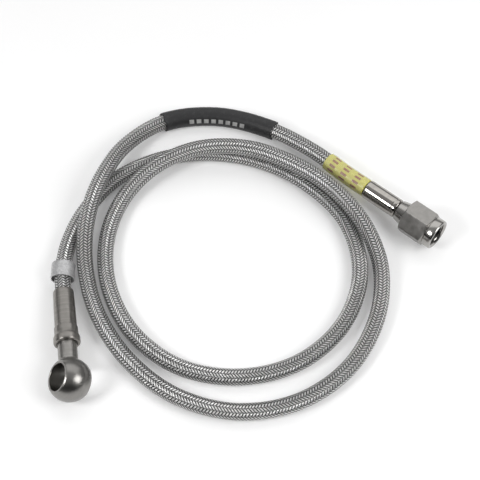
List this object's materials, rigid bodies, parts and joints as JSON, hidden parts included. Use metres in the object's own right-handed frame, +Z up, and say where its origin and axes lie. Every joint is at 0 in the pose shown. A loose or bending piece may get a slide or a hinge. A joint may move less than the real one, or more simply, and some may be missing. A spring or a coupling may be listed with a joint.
{
  "type": "brake hose",
  "caption": "Braided brake hose with a banjo eye on one end and a female swivel nut on the other, lying in a loose coil.",
  "frame": {"origin": "on the surface the hose lies on, under the middle of its box", "axes": "+Z up, +Y away from the side that the banjo eye lies on, +X toward the nut"},
  "size_m": [0.1516, 0.1351, 0.0161],
  "materials": {
    "fitting_steel": "satin, plated steel",
    "collar_steel": "fine turning lines, satin",
    "tag_metal": "rough, mottled",
    "braid_wire": "bright woven stainless wire",
    "liner_plastic": "waxy translucent white",
    "black_shrink": "matt, shrunk on",
    "yellow_film": "yellow film",
    "clear_shrink": "clear, shrunk on",
    "nut_steel": "satin, plated steel"
  },
  "bodies": {
    "hose": {"banjo_fitting": "fitting_steel", "banjo_ferrule": "collar_steel", "id_tag": "tag_metal", "braid_cover": "braid_wire", "hose_liner": "liner_plastic", "black_sleeve": "black_shrink", "label_band": "yellow_film", "label_cover": "clear_shrink", "nut_ferrule": "collar_steel", "nut_stem": "fitting_steel"},
    "nut": {"swivel_nut": "nut_steel"}
  },
  "joints": [
    {"name": "nut_swivel", "type": "hinge", "parent": "hose", "child": "nut", "pos_m": [0.06494, 0.0113, 0.00759], "axis": [0.7608, -0.6475, 0.0436], "continuous": true}
  ]
}
